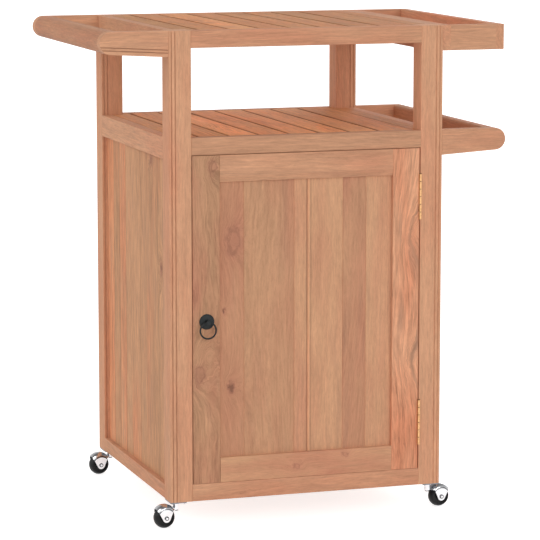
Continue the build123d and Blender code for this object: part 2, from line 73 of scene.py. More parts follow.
class Axis(Enum):
    """Axis of the trolley, with its number: along its length, from front to back, and upward."""

    X = 0
    Y = 1
    Z = 2


def display(red: int, green: int, blue: int) -> Colour:
    """Turn a display colour into the linear colour that shaders use.

    Args:
        red: Red from 0 to 255.
        green: Green from 0 to 255.
        blue: Blue from 0 to 255.

    Returns:
        The same colour in linear light.
    """

    def linear(level: int) -> float:
        """Undo the display curve for one channel."""
        share = level / 255
        return share / 12.92 if share <= 0.04045 else ((share + 0.055) / 1.055) ** 2.4

    return linear(red), linear(green), linear(blue)


class Graph:
    """Shader nodes of one material, made and linked by short calls."""

    def __init__(self, name: str) -> None:
        """Start an empty material.

        Args:
            name: Name of the material.
        """
        self.material = bpy.data.materials.new(name)
        self.material.use_nodes = True
        self.tree = self.material.node_tree
        self.tree.nodes.clear()

    @classmethod
    def of_tree(cls, tree: bpy.types.NodeTree) -> Graph:
        """Wrap a tree that belongs to no material.

        Args:
            tree: Tree to clear and fill.

        Returns:
            The graph.
        """
        graph = cls.__new__(cls)
        graph.tree = tree
        tree.nodes.clear()
        return graph

    def node(
        self, kind: str, inputs: dict[str | int, object] | None = None, **settings: object
    ) -> bpy.types.Node:
        """Add a node.

        Args:
            kind: Node type without its ShaderNode prefix.
            inputs: Values or sockets by input name or number.
            settings: Attributes of the node.

        Returns:
            The new node.
        """
        made = self.tree.nodes.new("ShaderNode" + kind)
        for key, setting in settings.items():
            setattr(made, key, setting)
        for key, given in (inputs or {}).items():
            self.feed(made.inputs[key], given)
        return made

    def feed(self, socket: Socket, given: object) -> None:
        """Link a socket to another one, or set its value.

        Args:
            socket: Input to feed.
            given: Output socket, number or colour.
        """
        if isinstance(given, Socket):
            self.tree.links.new(given, socket)
        elif isinstance(given, tuple) and socket.type == "RGBA":
            socket.default_value = (*given, 1.0)
        else:
            socket.default_value = given

    def math(self, operation: str, *terms: object, clamp: bool = False) -> Socket:
        """Add a Math node and return its result."""
        inputs = dict(enumerate(terms))
        return self.node("Math", inputs, operation=operation, use_clamp=clamp).outputs[0]

    def blend(self, share: object, first: object, second: object, mode: str = "MIX") -> Socket:
        """Mix two colours.

        Args:
            share: Share of the second colour.
            first: First colour.
            second: Second colour.
            mode: Blend mode.

        Returns:
            The mixed colour.
        """
        made = self.node("Mix", data_type="RGBA", blend_type=mode)
        share_in, first_in, second_in, mixed = 0, 6, 7, 2
        self.feed(made.inputs[share_in], share)
        self.feed(made.inputs[first_in], first)
        self.feed(made.inputs[second_in], second)
        return made.outputs[mixed]

    def tint(
        self, colour: object, where: object, strength: float, shade: Shade, clamp: bool = False
    ) -> Socket:
        """Lay a display colour over another colour where a mask says so."""
        share = self.math("MULTIPLY", where, strength, clamp=clamp)
        return self.blend(share, colour, display(*shade))

    def darken(self, level: object, where: object, share: float) -> Socket:
        """Take a share off a level where a mask says so; a negative share brightens it."""
        return self.math("MULTIPLY", level, self.math("MULTIPLY_ADD", where, -share, 1.0))

    def ramp(self, share: object, stops: Stops) -> Socket:
        """Map a number through grey stops.

        Args:
            share: Number to map.
            stops: Places and grey levels.

        Returns:
            The mapped level.
        """
        made = self.node("ValToRGB", {0: share})
        elements = made.color_ramp.elements
        while len(elements) < len(stops):
            elements.new(0.5)
        for element, (place, level) in zip(elements, stops):
            element.position = place
            element.color = (level, level, level, 1.0)
        return made.outputs[0]

    def noise(self, place: object, scale: float, detail: float) -> Socket:
        """Add a noise texture and return its level."""
        inputs = {"Vector": place, "Scale": scale, "Detail": detail, "Roughness": 0.55}
        return self.node("TexNoise", inputs).outputs[0]

    def finish(self, inputs: dict[str, object]) -> Material:
        """Put a Principled shader on the surface.

        Args:
            inputs: Values or sockets of the shader, by name.

        Returns:
            The finished material.
        """
        shader = self.node("BsdfPrincipled", inputs)
        self.node("OutputMaterial", {"Surface": shader.outputs[0]})
        return self.material


@dataclass(frozen=True)
class WoodTone:
    """Display colours of one kind of board: open wood, ring lines and warm patches."""

    light: Shade
    dark: Shade
    warm: Shade


FRAME_TONE = WoodTone((206, 155, 122), (176, 122, 92), (204, 145, 114))
PANEL_TONE = WoodTone((205, 156, 121), (164, 112, 86), (196, 135, 108))
SIDE_TONE = WoodTone((203, 153, 116), (162, 108, 80), (210, 144, 107))
RED_TONE = WoodTone((217, 160, 126), (158, 104, 80), (216, 144, 110))
SLAT_TONE = WoodTone((203, 145, 99), (156, 98, 64), (207, 138, 93))
# Paler and redder than the top's slats: painted light, standing in for the light and warm bounce
# that reach the shelf under the top.
SHELF_TONE = WoodTone((238, 174, 124), (176, 112, 74), (242, 164, 114))
KNOT_BROWN: Shade = (132, 92, 76)
KNOT_BLUSH: Shade = (182, 124, 102)
STREAK_GREY: Shade = (154, 116, 94)

# Grey ramps: places from 0 to 1, and the level at each.
RING_PROFILE = ((0.0, 0.1), (0.45, 0.25), (0.8, 0.65), (0.9, 1.0), (0.96, 0.45), (1.0, 0.1))
RING_FADING = ((0.36, 0.1), (0.64, 1.0))
OPEN_PORES = ((0.6, 0.0), (0.72, 1.0))
GREY_BANDS = ((0.56, 0.0), (0.74, 1.0))
KNOT_HALO = ((0.06, 0.0), (0.24, 1.0))
KNOT_RIM = ((0.2, 0.0), (0.3, 1.0), (0.36, 1.0), (0.5, 0.0))
KNOT_CORE = ((0.3, 0.0), (0.62, 1.0))
THIN_LINE = ((0.3, 1.0), (0.6, 0.0))
SQUARE_ON = ((0.5, 0.0), (0.9, 1.0))
SLANTED = ((0.35, 0.0), (0.5, 1.0), (0.8, 1.0), (0.95, 0.0))
WORN_CLOUDS = ((0.4, 0.0), (0.75, 1.0))


@dataclass(frozen=True)
class Streak:
    """Noise drawn out along the fibres: its stretch, its scale per metre and its layers."""

    lengthwise: float
    scale: float
    detail: float


SLOW_WAVE = Streak(0.15, 8.0, 1.0)
MIDDLE_WAVE = Streak(0.26, 32.0, 2.0)
SMALL_WAVE = Streak(0.4, 140.0, 2.0)
FADING_WAVE = Streak(0.3, 22.0, 2.0)
WARM_PATCH = Streak(0.22, 17.0, 3.0)
STROKE = Streak(0.17, 430.0, 2.0)
FIBRE = Streak(0.05, 620.0, 1.0)
STRAND = Streak(0.08, 230.0, 1.0)
BAND = Streak(0.08, 62.0, 1.0)
PORE = Streak(0.14, 1300.0, 1.0)


@dataclass(frozen=True)
class Board:
    """Look of one board between two seams.

    Attributes:
        level: Brightness against the finish's own.
        blush: Share of the warm colour.
        figure: Strength of the ring lines.
        arch: Metres by which slow waves bend the rings.
    """

    level: float = 1.0
    blush: float = 0.3
    figure: float = 0.5
    arch: float = 0.05


@dataclass(frozen=True)
class Knot:
    """Knot on a board's face, in metres.

    Attributes:
        along: Place along the fibres.
        across: Place across the fibres.
        heart: Size of the blushed heart.
        swirl: Reach of the bend in the rings.
        bend: Largest shift of the rings.
        pit: Darkness of the middle.
    """

    along: float
    across: float
    heart: float
    swirl: float
    bend: float = 0.03
    pit: float = 0.0


@dataclass(frozen=True)
class HardwoodFinish:
    """Oiled hardwood, with its own pattern and tone for every board that the seams divide.

    Seams, groove lines and knots are places in metres. A shade is a share of brightness that is
    taken away, and a negative one is paler; the shades of seams, groove lines, slanted walls and
    edges are painted shade, and painted light where negative. The seed places the first board in
    the log, and the next count on.
    """

    name: str
    grain: Axis
    tone: WoodTone
    seed: float
    boards: tuple[Board, ...]
    across: Axis = Axis.X
    seams: tuple[float, ...] = ()
    ring_pitch: float = 0.0075
    wave: float = 0.010
    streaks: float = 0.35
    patches: float = 3.8
    lines: float = 0.35
    # Painted shade along seams and groove lines, on slanted walls and on faces square to the
    # crossing axis; a negative one is painted light.
    seam_shade: float = 0.0
    grooves: Stops = ()
    wall_shade: float = 0.0
    edge_shade: float = 0.0
    end_blush: float = 0.0
    end_shade: float = 0.0
    knots: tuple[Knot, ...] = ()

    def build(self) -> Material:
        """Paint the material, which reads object coordinates in metres."""
        return WoodShader(self).paint()


class WoodShader(Graph):
    """Shader of a hardwood finish, which saws every board from its own place in a long log."""

    length_spread = 9.0
    width_spread = 5.0
    lean = 0.02
    slant = 0.5
    ripple = 0.16
    uneven_rate = 0.9
    uneven_turns = 1.6
    ring_darkness = 0.75
    stroke_contrast = 0.34
    wave_contrast = 0.15
    pore_shade = 0.1
    pore_depth = 0.5
    line_sharpness = 400.0
    knot_warps = ((60.0, 0.026), (85.0, 0.016))
    knot_stretch = 0.55
    knot_fray = 5.0
    knot_strengths = (0.5, 0.3, 0.8)
    roughness = 0.58
    rough_spread = 0.3

    def __init__(self, look: HardwoodFinish) -> None:
        """Find the shaded point's board and its place in the log.

        Args:
            look: Finish to paint.
        """
        super().__init__(look.name)
        self.look = look
        self.coordinates = self.node("TexCoord").outputs
        spots = self.node("SeparateXYZ", {0: self.coordinates["Object"]}).outputs
        third = sum(axis.value for axis in Axis) - look.grain.value - look.across.value
        self.along = spots[look.grain.value]
        self.across = spots[look.across.value]
        self.beyond = [self.math("GREATER_THAN", self.across, seam) for seam in look.seams]
        number: object = look.seed
        for step in self.beyond or [0.0]:
            number = self.math("ADD", step, number)
        chance = self.node("TexWhiteNoise", {"W": number}, noise_dimensions="1D")
        chances = self.node("SeparateColor", {0: chance.outputs["Color"]}).outputs
        self.run = self.math("MULTIPLY_ADD", chances[0], self.length_spread, self.along)
        self.wide = self.math("MULTIPLY_ADD", chances[1], self.width_spread, self.across)
        self.deep = self.math("MULTIPLY_ADD", chances[2], self.width_spread, spots[third])
        self.tilt = self.math("MULTIPLY", self.math("SUBTRACT", chances[1], 0.5), self.lean)

    def own(self, part: str) -> object:
        """Pick a number of the look of the board at the shaded point.

        Args:
            part: Name of the number in Board.

        Returns:
            The number.
        """
        values = [getattr(board, part) for board in self.look.boards]
        level: object = values[0]
        for step, before, after in zip(self.beyond, values, values[1:]):
            level = self.math("MULTIPLY_ADD", step, after - before, level)
        return level

    def streak(self, first: object, kind: Streak) -> Socket:
        """Add noise that is drawn out along the fibres.

        Args:
            first: Coordinate across the fibres.
            kind: Size and stretch of the noise.

        Returns:
            The noise, from -0.5 to 0.5.
        """
        slow = self.math("MULTIPLY", self.run, kind.lengthwise)
        vector = self.node("CombineXYZ", {0: first, 1: self.deep, 2: slow}).outputs[0]
        return self.math("SUBTRACT", self.noise(vector, kind.scale, kind.detail), 0.5)

    def mask(self, streak: Socket, stops: Stops) -> Socket:
        """Map streaked noise through grey stops."""
        return self.ramp(self.math("ADD", streak, 0.5), stops)

    def facing(self, axis: Axis, stops: Stops) -> Socket:
        """Map how squarely a face looks along an axis through grey stops."""
        normal = self.node("SeparateXYZ", {0: self.coordinates["Normal"]}).outputs[axis.value]
        return self.ramp(self.math("ABSOLUTE", normal), stops)

    def knot_fields(self, rough: Socket) -> tuple[object, object, object]:
        """Work out what the knots do to the wood around them.

        Args:
            rough: Small waves that fray the hearts.

        Returns:
            The bend of the rings in metres, the closeness to the nearest heart from 0 to 1, and
            the darkness of the pits.
        """
        bend: object = 0.0
        heart: object = 0.0
        pit: object = 0.0
        if not self.look.knots:
            return bend, heart, pit
        spot = {0: self.across, 1: self.look.seed, 2: self.along}
        vector = self.node("CombineXYZ", spot).outputs[0]
        warped = []
        for line, (scale, reach) in zip((self.along, self.across), self.knot_warps):
            push = self.math("SUBTRACT", self.noise(vector, scale, 3.0), 0.5)
            warped.append(self.math("MULTIPLY_ADD", push, reach, line))
        along, across = warped
        frayed = self.math("MULTIPLY_ADD", rough, self.knot_fray, 1.0)
        for knot in self.look.knots:
            away = self.math("SUBTRACT", along, knot.along)
            run = self.math("MULTIPLY", away, self.knot_stretch)
            aside = self.math("SUBTRACT", across, knot.across)
            square = self.math("MULTIPLY_ADD", run, run, self.math("MULTIPLY", aside, aside))
            wide = self.math("MULTIPLY_ADD", square, 1 / knot.swirl**2, 1.0)
            bend = self.math("ADD", self.math("DIVIDE", knot.bend, wide), bend)
            near = self.math("MULTIPLY_ADD", square, 1 / knot.heart**2, frayed)
            close = self.math("DIVIDE", 1.0, self.math("MAXIMUM", near, 1.0))
            heart = self.math("MAXIMUM", close, heart)
            pit = self.math("MAXIMUM", self.math("MULTIPLY", close, knot.pit), pit)
        return bend, heart, pit

    def rings(self, line: Socket) -> Socket:
        """Draw the ring lines, which fade here and there.

        Args:
            line: Coordinate across the rings, in metres.

        Returns:
            Darkness of the lines.
        """
        pitch = self.look.ring_pitch
        uneven = self.streak(line, Streak(0.05, self.uneven_rate / pitch, 0.0))
        wander = self.math("MULTIPLY", uneven, self.uneven_turns)
        turns = self.math("MULTIPLY_ADD", line, 1 / pitch, wander)
        ring = self.ramp(self.math("FRACT", turns), RING_PROFILE)
        fading = self.mask(self.streak(self.wide, FADING_WAVE), RING_FADING)
        return self.math("MULTIPLY", self.math("MULTIPLY", ring, fading), self.own("figure"))

    def shade_lines_and_faces(self, gain: Socket) -> Socket:
        """Paint shade along seams and groove lines and on slanted walls and square-on faces; a
        negative share paints light.

        Args:
            gain: Brightness so far.

        Returns:
            The brightness with its painted shade and light.
        """
        look = self.look
        seams = tuple((seam, look.seam_shade) for seam in look.seams if look.seam_shade)
        for spot, darker in seams + look.grooves:
            away = self.math("ABSOLUTE", self.math("SUBTRACT", self.across, spot))
            line = self.ramp(self.math("MULTIPLY", away, self.line_sharpness), THIN_LINE)
            gain = self.darken(gain, line, darker)
        if look.wall_shade:
            gain = self.darken(gain, self.facing(Axis.Y, SLANTED), look.wall_shade)
        if look.edge_shade:
            gain = self.darken(gain, self.facing(look.across, SQUARE_ON), look.edge_shade)
        return gain

    def paint(self) -> Material:
        """Grow rings, fibres and knots, colour them, and finish the material.

        Returns:
            The finished material.
        """
        look = self.look
        level = self.own("level")
        blush = self.own("blush")
        if look.end_blush or look.end_shade:
            end = self.facing(look.grain, SQUARE_ON)
            blush = self.math("MULTIPLY_ADD", end, look.end_blush, blush)
            level = self.darken(level, end, look.end_shade)

        slow_wave = self.streak(self.wide, SLOW_WAVE)
        middle_wave = self.streak(self.wide, MIDDLE_WAVE)
        small_wave = self.streak(self.wide, SMALL_WAVE)
        bend, heart, pit = self.knot_fields(small_wave)
        line: object = self.wide
        for push, reach in (
            (self.run, self.tilt), (self.deep, self.slant), (slow_wave, self.own("arch")),
            (middle_wave, look.wave), (small_wave, look.wave * self.ripple),
        ):
            line = self.math("MULTIPLY_ADD", push, reach, line)
        line = self.math("ADD", line, bend)
        stroke, fibre, strand, band = (
            self.streak(line, kind) for kind in (STROKE, FIBRE, STRAND, BAND)
        )
        pore = self.mask(self.streak(line, PORE), OPEN_PORES)

        patch = self.streak(self.wide, WARM_PATCH)
        warmth = self.math("MULTIPLY_ADD", patch, look.patches, blush, clamp=True)
        colour = self.blend(warmth, display(*look.tone.light), display(*look.tone.warm))
        rings = self.rings(line)
        colour = self.tint(colour, rings, self.ring_darkness, look.tone.dark, clamp=True)
        colour = self.tint(colour, self.mask(band, GREY_BANDS), look.streaks, STREAK_GREY)
        if look.knots:
            halo, rim, core = self.knot_strengths
            colour = self.tint(colour, self.ramp(heart, KNOT_HALO), halo, KNOT_BLUSH)
            colour = self.tint(colour, self.ramp(heart, KNOT_RIM), rim, KNOT_BROWN)
            colour = self.tint(colour, self.ramp(pit, KNOT_CORE), core, KNOT_BROWN)

        gain: object = 1.0
        for part, contrast in (
            (stroke, self.stroke_contrast), (fibre, look.lines), (strand, look.lines),
            (band, look.lines), (middle_wave, self.wave_contrast), (pore, -self.pore_shade),
        ):
            gain = self.math("MULTIPLY_ADD", part, contrast, gain)
        gain = self.shade_lines_and_faces(self.math("MULTIPLY", gain, level))
        grey = self.node("CombineColor", {0: gain, 1: gain, 2: gain}).outputs[0]
        height = self.math("MULTIPLY_ADD", pore, -self.pore_depth, fibre)
        bump = self.node("Bump", {"Strength": 0.3, "Distance": 0.0003, "Height": height})
        return self.finish({
            "Base Color": self.blend(1.0, colour, grey, "MULTIPLY"), "Normal": bump.outputs[0],
            "Roughness": self.math("MULTIPLY_ADD", strand, self.rough_spread, self.roughness),
            "Specular IOR Level": 0.04,
        })


@dataclass(frozen=True)
class MetalFinish:
    """Metal or coating with fine unevenness in its colour, gloss and surface."""

    name: str
    colour: Shade
    worn: Shade
    metallic: float
    roughness: float
    scale: float = 300.0
    relief: float = 0.00005
    gloss: float = 0.5
    fineness: float = 6.0
    even: float = 0.8
    speckled: float = 0.4

    def build(self) -> Material:
        """Build the material.

        Returns:
            A material that reads object coordinates in metres.
        """
        graph = Graph(self.name)
        place = graph.node("TexCoord").outputs["Object"]
        cloud = graph.ramp(graph.noise(place, self.scale, 3.0), WORN_CLOUDS)
        speck = graph.noise(place, self.scale * self.fineness, 2.0)
        rougher = graph.math("MULTIPLY", speck, self.roughness * self.speckled)
        bump = graph.node("Bump", {"Strength": 0.4, "Distance": self.relief, "Height": speck})
        return graph.finish({
            "Base Color": graph.blend(cloud, display(*self.colour), display(*self.worn)),
            "Roughness": graph.math("ADD", self.roughness * self.even, rougher),
            "Normal": bump.outputs[0], "Metallic": self.metallic,
            "Specular IOR Level": self.gloss,
        })


CHROME = MetalFinish("chrome", (232, 232, 234), (214, 215, 218), 1.0, 0.07, 120.0, 0.00001)
# Darker steel for the hood's cheek bands and bosses: a painted dark reflection.
DULL_STEEL = MetalFinish("dull_steel", (104, 104, 106), (84, 84, 86), 1.0, 0.4)
ZINC = MetalFinish("zinc", (132, 134, 138), (110, 112, 116), 1.0, 0.34)
BRASS = MetalFinish("brass", (226, 180, 130), (200, 150, 102), 1.0, 0.3)
# Darker brass for the hinge pins, which show only in the knuckle gaps: painted shade.
DARK_BRASS = MetalFinish("dark_brass", (120, 84, 52), (98, 68, 44), 1.0, 0.45)
BLACK_IRON = MetalFinish("black_iron", (24, 28, 29), (32, 37, 38), 0.2, 0.5, 260.0, 0.00012, 0.35)
WHEEL_BLACK = MetalFinish(
    "wheel_rubber", (16, 16, 17), (24, 24, 25), 0.0, 0.36, 90.0, 0.00004, 0.22
)
CATCH_BROWN = MetalFinish("catch_plastic", (112, 74, 50), (98, 64, 44), 0.0, 0.5, 500.0, 0.00006)


def dress(node: str, material: Material) -> None:
    """Give a carried-over piece its finish.

    Args:
        node: Name of the piece in the frame.
        material: Finish to assign.
    """
    piece = bpy.data.objects[node]
    if not piece.material_slots:
        piece.data.materials.append(material)
    for holder in piece.material_slots:
        holder.material = material
    LOG.info("dressed %s with %s", node, material.name)


def dress_wood(
    node: str, grain: Axis, tone: WoodTone, *boards: Board, seed: float, **settings: object
) -> None:
    """Give a wooden piece a finish of its own, named after it; settings are further fields."""
    dress(node, HardwoodFinish(f"{node}_wood", grain, tone, seed, boards, **settings).build())


def sweep(
    mesh: Mesh, parts: list, centre: Vector, axis: Vector, turn: float, steps: int
) -> list:
    """Spin parts of a mesh by radians, close a full turn, and return the parts at its end."""
    return bmesh.ops.spin(
        mesh, geom=parts, cent=centre, axis=axis, angle=turn, steps=steps,
        use_merge=turn == math.tau, use_normal_flip=False, use_duplicate=False,
    )["geom_last"]


class Turning:
    """Solid of revolution built in a bmesh: a profile of radius and height, spun about an axis."""

    def __init__(self, centre: Vector, axis: Vector, steps: int) -> None:
        """Start an empty profile.

        Args:
            centre: Point on the axis where height is zero.
            axis: Direction of positive height.
            steps: Segments of a full turn.
        """
        self.centre = centre
        self.axis = axis.normalized()
        self.out = self.axis.orthogonal().normalized()
        self.steps = steps
        self.mesh = bmesh.new()
        self.last: bmesh.types.BMVert | None = None

    def spot(self, radius: float, height: float) -> Vector:
        """Place of a profile point."""
        return self.centre + self.out * radius + self.axis * height

    def through(self, *points: tuple[float, float]) -> Turning:
        """Draw straight edges on through points.

        Args:
            points: Radius and height of each point.

        Returns:
            The turning.
        """
        for radius, height in points:
            vert = self.mesh.verts.new(self.spot(radius, height))
            if self.last is not None:
                self.mesh.edges.new((self.last, vert))
            self.last = vert
        return self

    def arc(self, radius: float, height: float, degrees: float, segments: int) -> Turning:
        """Swing the last point about a centre.

        Args:
            radius: Radius of the centre of the arc.
            height: Height of the centre of the arc.
            degrees: Angle of the arc, positive from height towards radius.
            segments: Number of edges.

        Returns:
            The turning.
        """
        made = sweep(
            self.mesh, [self.last], self.spot(radius, height), self.axis.cross(self.out),
            math.radians(degrees), segments,
        )
        self.last = next(part for part in made if isinstance(part, bmesh.types.BMVert))
        return self

    def spin(self) -> Mesh:
        """Spin the profile through a full turn.

        Returns:
            The closed mesh.
        """
        profile = self.mesh.verts[:] + self.mesh.edges[:]
        sweep(self.mesh, profile, self.centre, self.axis, math.tau, self.steps)
        bmesh.ops.remove_doubles(self.mesh, verts=self.mesh.verts[:], dist=MERGE_DISTANCE)
        bmesh.ops.recalc_face_normals(self.mesh, faces=self.mesh.faces[:])
        return self.mesh


def as_piece(
    name: str, mesh: Mesh, material: Material, body: str,
    flat_above: float = 35.0,
) -> bpy.types.Object:
    """Turn a bmesh into a smooth piece that rides on a body.

    Args:
        name: Name of the piece.
        mesh: Mesh, which is freed.
        material: Finish of the piece.
        body: Body that carries the piece.
        flat_above: Edges sharper than this many degrees stay crisp.

    Returns:
        The new object.
    """
    crisp = math.radians(flat_above)
    for edge in mesh.edges:
        edge.smooth = len(edge.link_faces) == 2 and edge.calc_face_angle() < crisp
    for face in mesh.faces:
        face.smooth = True
    data = bpy.data.meshes.new(name)
    mesh.to_mesh(data)
    mesh.free()
    data.materials.append(material)
    piece = bpy.data.objects.new(name, data)
    bpy.context.scene.collection.objects.link(piece)
    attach(piece, body)
    LOG.info("made %s on %s", name, body)
    return piece


@dataclass
class Legs:
    """Four square posts with a routed bead, given as places and painted shades of its lines."""

    seed: float = 3.0
    seed_step: float = 7.3
    board: Board = Board(1.0, 0.25, 0.2, 0.03)
    # Painted light on the left and right faces of each post, by corner; a negative share is paler.
    side_shades: tuple[float, ...] = (0.0, -0.2, 0.0, -0.05)
    # Painted shade in the bead's two cuts and a painted highlight on its crest, by distance from
    # the middle.
    bead: Stops = ((0.245, 0.12), (0.24175, -0.06), (0.2385, 0.12))

    def dress(self) -> None:
        """Give each post straight, quiet grain of its own, painted shade in the bead's cuts and
        painted light on its crest and on the right posts' sides.
        """
        for number, (corner, shade) in enumerate(zip(CORNERS, self.side_shades)):
            side = 1 if corner.endswith("right") else -1
            dress_wood(
                f"leg_{corner}", Axis.Z, FRAME_TONE, self.board,
                seed=self.seed + self.seed_step * number, ring_pitch=0.009, wave=0.006,
                streaks=0.1, lines=0.25, edge_shade=shade,
                grooves=tuple((side * spot, darker) for spot, darker in self.bead),
            )


TOP_BOARDS = (
    Board(0.87, 0.3, 0.5, 0.04), Board(0.96, 0.9, 0.5, 0.05), Board(1.17, 0.65, 0.7, 0.16),
    Board(0.96, 0.8, 0.6, 0.08), Board(0.95, 0.3, 0.5, 0.05), Board(1.0, 0.6, 0.7, 0.14),
    Board(0.82, 0.4, 0.5, 0.05), Board(0.88, 0.6, 0.6, 0.08), Board(0.89, 0.45, 0.5, 0.05),
)
# The shelf's boards darken toward the right end as painted shade near the right posts; the other
# steps are the boards' own tone.
SHELF_BOARDS = (
    Board(0.74, 0.2, 0.5, 0.04), Board(0.82, 0.5, 0.5, 0.05), Board(1.06, 0.7, 0.7, 0.16),
    Board(0.92, 0.45, 0.6, 0.08), Board(0.98, 0.3, 0.5, 0.05), Board(1.03, 0.25, 0.7, 0.14),
    Board(0.89, 0.1, 0.5, 0.05), Board(0.78, 0.5, 0.6, 0.08), Board(0.66, 0.9, 0.5, 0.05),
)


@dataclass
class Deck:
    """Slatted deck with its four rails. The gaps between its boards are even but for the last."""

    name: str
    seed: float
    tone: WoodTone
    boards: tuple[Board, ...]
    rail_level: float = 0.95
    # At this level the top's side rails are painted darker, standing in for the handle bar's
    # shadow.
    side_level: float = 0.92
    left_seam: float = -0.192
    pitch: float = 0.055
    gaps: int = 7
    last_seam: float = 0.2008
    rail_seeds: tuple[float, ...] = (0.0, 2.7, 8.1, 12.0)
    board_seed: float = 31.0

    def seams(self) -> tuple[float, ...]:
        """Places of the gaps between the boards, from left to right."""
        even = tuple(self.left_seam + self.pitch * number for number in range(self.gaps))
        return even + (self.last_seam,)

    def dress(self) -> None:
        """Give rails and boards their own grain."""
        rails = (
            ("front", Axis.X, self.rail_level), ("back", Axis.X, self.rail_level),
            ("left", Axis.Y, self.side_level), ("right", Axis.Y, self.side_level),
        )
        for (side, grain, level), step in zip(rails, self.rail_seeds):
            dress_wood(
                f"{self.name}_rail_{side}", grain, FRAME_TONE, Board(level, 0.3, 0.3, 0.05),
                seed=self.seed + step, across=Axis.Z,
            )
        # The slats' faces square to the crossing axis, their sides in the gaps, get painted shade.
        boards = HardwoodFinish(
            f"{self.name}_deck_wood", Axis.Y, self.tone, self.seed + self.board_seed,
            self.boards, seams=self.seams(), streaks=0.3, edge_shade=0.5, lines=0.45,
        ).build()
        dress(f"{self.name}_slats", boards)
        dress(f"{self.name}_edge_boards", boards)


@dataclass
class Arms:
    """Two round-ended arms and the bar between them."""

    name: str
    bar: str
    seed: float
    arm_level: float = 0.98
    bar_level: float = 0.84
    arm_seed_step: float = 4.4
    bar_seed_step: float = 12.6

    def dress(self) -> None:
        """Run the grain along each arm and along the bar."""
        for number, side in enumerate(("front", "back")):
            # The slanted walls of the arms' groove lines get painted shade.
            dress_wood(
                f"{self.name}_arm_{side}", Axis.X, FRAME_TONE,
                Board(self.arm_level, 0.2, 0.2, 0.03),
                seed=self.seed + self.arm_seed_step * number,
                across=Axis.Z, wave=0.008, wall_shade=0.25,
            )
        dress_wood(
            self.bar, Axis.Y, FRAME_TONE, Board(self.bar_level, 0.7, 0.35, 0.05),
            seed=self.seed + self.bar_seed_step, across=Axis.Z,
        )


@dataclass
class SideFrame:
    """Open frame of four boards on the right of the top. One shows its end grain."""

    seed: float = 61.0
    seed_step: float = 5.2
    end_blush: float = -1.5
    end_shade: float = 0.07

    def dress(self) -> None:
        """Give each board its own grain, the end board a redder one."""
        looks = (
            ("inner", Axis.Y, FRAME_TONE, 0.95, 0.4), ("end", Axis.Y, RED_TONE, 0.89, 0.7),
            ("front", Axis.X, FRAME_TONE, 0.94, 0.3), ("back", Axis.X, FRAME_TONE, 0.92, 0.3),
        )
        for number, (side, grain, tone, level, blush) in enumerate(looks):
            ends = {"end_blush": self.end_blush, "end_shade": self.end_shade}
            dress_wood(
                f"side_frame_{side}", grain, tone, Board(level, blush, 0.4, 0.08),
                seed=self.seed + self.seed_step * number, across=Axis.Z,
                **(ends if side == "end" else {}),
            )


@dataclass
class Cabinet:
    """Base rails, side and back panels, floor and bearers."""

    side_seams: tuple[float, ...] = (-0.0134, 0.0841, 0.1266, 0.1666)
    side_boards: tuple[Board, ...] = (
        Board(0.92, -0.2, 0.4, 0.06), Board(0.97, -0.25, 0.3, 0.01), Board(1.04, 0.7, 0.6, 0.05),
        Board(0.93, -0.1, 0.4, 0.03), Board(1.1, 1.0, 0.5, 0.05),
    )
    side_knots: tuple[Knot, ...] = (
        Knot(0.445, -0.15, 0.004, 0.014, 0.03, 0.9), Knot(0.645, -0.09, 0.006, 0.02, 0.04),
    )
    back_seams: tuple[float, ...] = (-0.106, -0.010, 0.102)
    back_boards: tuple[Board, ...] = (
        Board(0.97, 0.3, 0.5, 0.12), Board(1.02, 0.4, 0.4, 0.04), Board(0.92, 0.6, 0.6, 0.15),
        Board(1.0, 0.3, 0.4, 0.03),
    )

    def dress(self) -> None:
        """Give rails, staves, floor and bearers their grain."""
        for number, side in enumerate(("front", "back", "left", "right")):
            grain = Axis.X if side in ("front", "back") else Axis.Y
            dress_wood(
                f"base_rail_{side}", grain, FRAME_TONE, Board(0.95, 0.4, 0.3, 0.06),
                seed=90.0 + 3.3 * number, across=Axis.Z,
            )
        for side, seed in (("left", 110.0), ("right", 119.7)):
            # The side panels' seams get painted shade.
            dress_wood(
                f"side_panel_{side}", Axis.Z, SIDE_TONE, *self.side_boards, seed=seed,
                across=Axis.Y, seams=self.side_seams, streaks=0.5, lines=0.6, seam_shade=0.2,
                knots=self.side_knots,
            )
        # The back panel's seams get painted shade.
        dress_wood(
            "back_panel", Axis.Z, PANEL_TONE, *self.back_boards, seed=141.0,
            seams=self.back_seams, seam_shade=0.1,
        )
        dress_wood(
            "cabinet_floor", Axis.X, PANEL_TONE, Board(0.95, 0.3, 0.5, 0.1), seed=152.0,
            across=Axis.Y,
        )
        dress_wood(
            "bearers", Axis.X, FRAME_TONE, Board(0.9, 0.3, 0.4, 0.05), seed=163.0, across=Axis.Y,
        )


